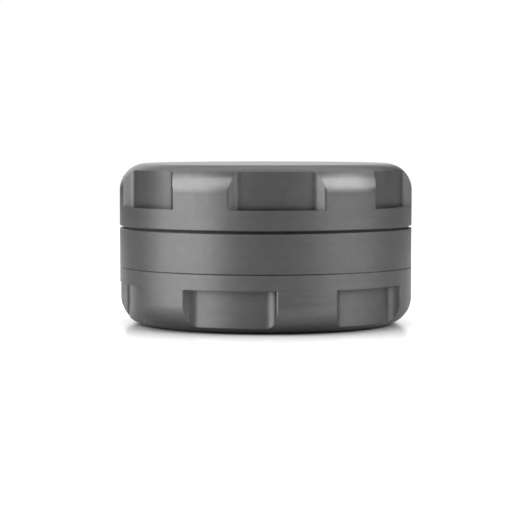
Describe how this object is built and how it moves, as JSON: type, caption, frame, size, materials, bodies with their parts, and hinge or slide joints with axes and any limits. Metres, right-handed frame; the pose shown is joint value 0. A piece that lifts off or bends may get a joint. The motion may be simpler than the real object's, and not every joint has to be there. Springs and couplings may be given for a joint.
{
  "type": "two-stage hand grinder",
  "caption": "Round hand-held herb and spice grinder in grey anodised aluminium: notched lid, toothed plate and a screw-on storage base.",
  "frame": {"origin": "centre of the base cup's flat underside", "axes": "+Z along the common axis of all pieces, from the base up to the lid; -Y through the middle of one of the base's finger notches"},
  "size_m": [0.063, 0.063, 0.0345],
  "materials": {
    "shell_aluminium": "satin grey anodised, finely turned and bead blasted",
    "magnet_nickel": "bright nickel plating",
    "glide_polymer": "matt black polymer",
    "seal_rubber": "matt black rubber"
  },
  "bodies": {
    "base": {"base_cup": "shell_aluminium"},
    "seal": {"thread_seal": "seal_rubber"},
    "plate": {"grinding_plate": "shell_aluminium", "plate_magnet": "magnet_nickel"},
    "glide": {"glide_ring": "glide_polymer"},
    "lid": {"lid": "shell_aluminium", "lid_magnet": "magnet_nickel"}
  },
  "joints": [
    {"name": "plate_rise", "type": "slide", "parent": "base", "child": "seal", "axis": [0, 0, 1], "range_m": [0, 0.005]},
    {"name": "plate_unscrew", "type": "hinge", "parent": "seal", "child": "plate", "pos_m": [0, 0, 0.012], "axis": [0, 0, 1], "range_deg": [0, 720]},
    {"name": "lid_spin", "type": "hinge", "parent": "plate", "child": "glide", "pos_m": [0, 0, 0.021], "axis": [0, 0, 1], "continuous": true},
    {"name": "lid_lift", "type": "slide", "parent": "glide", "child": "lid", "axis": [0, 0, 1], "range_m": [0, 0.028]}
  ],
  "couplings": [
    {"joint": "plate_rise", "follows": "plate_unscrew", "m_per_rad": 0.00039789}
  ]
}
